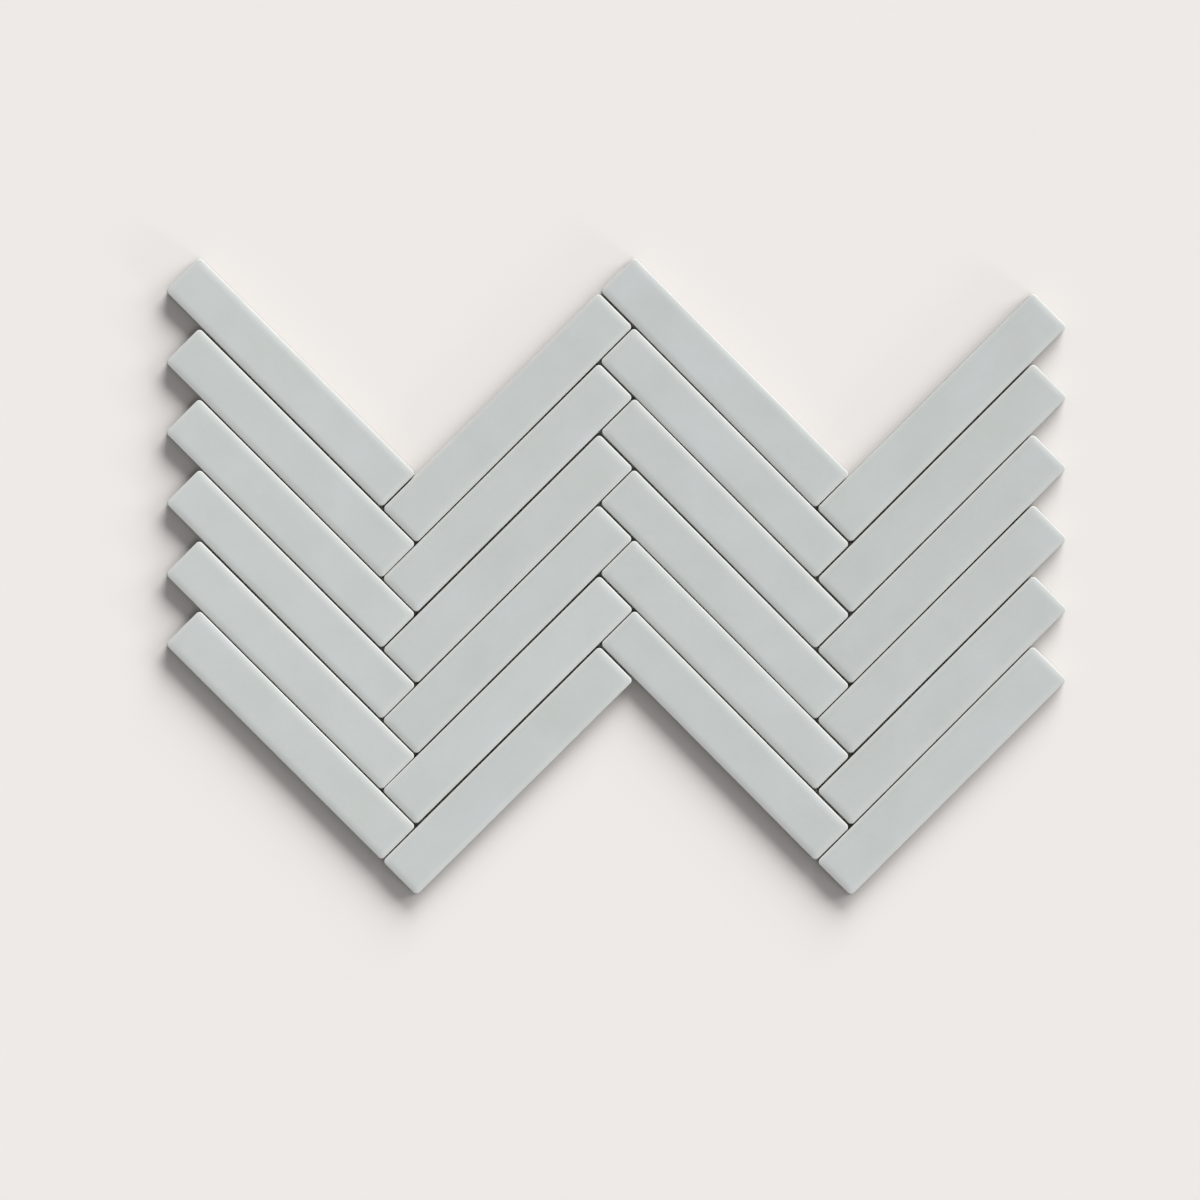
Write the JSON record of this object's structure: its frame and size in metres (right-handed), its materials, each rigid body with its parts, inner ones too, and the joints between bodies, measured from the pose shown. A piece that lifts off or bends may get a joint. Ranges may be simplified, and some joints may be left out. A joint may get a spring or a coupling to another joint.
{
  "type": "herringbone mosaic tile",
  "caption": "Sheet of slim glazed finger tiles with cushioned faces, laid in herringbone at 45 degrees and held by one mesh carrier on their backs.",
  "frame": {"origin": "under the middle of the sheet, on the level that its back lies on", "axes": "+X along the row of columns, +Y up the columns, +Z out of the glazed faces"},
  "size_m": [0.4264, 0.3016, 0.0084],
  "materials": {
    "glazed_tile": "satin pale sage-grey glaze over grey-beige porcelain",
    "carrier_mesh": "open glass-fibre mesh with glue"
  },
  "bodies": {
    "root": {"tile_c1_r1": "glazed_tile", "tile_c1_r2": "glazed_tile", "tile_c1_r3": "glazed_tile", "tile_c1_r4": "glazed_tile", "tile_c1_r5": "glazed_tile", "tile_c1_r6": "glazed_tile", "tile_c2_r1": "glazed_tile", "tile_c2_r2": "glazed_tile", "tile_c2_r3": "glazed_tile", "tile_c2_r4": "glazed_tile", "tile_c2_r5": "glazed_tile", "tile_c2_r6": "glazed_tile", "tile_c3_r1": "glazed_tile", "tile_c3_r2": "glazed_tile", "tile_c3_r3": "glazed_tile", "tile_c3_r4": "glazed_tile", "tile_c3_r5": "glazed_tile", "tile_c3_r6": "glazed_tile", "tile_c4_r1": "glazed_tile", "tile_c4_r2": "glazed_tile", "tile_c4_r3": "glazed_tile", "tile_c4_r4": "glazed_tile", "tile_c4_r5": "glazed_tile", "tile_c4_r6": "glazed_tile", "backing_mesh": "carrier_mesh"}
  },
  "joints": []
}
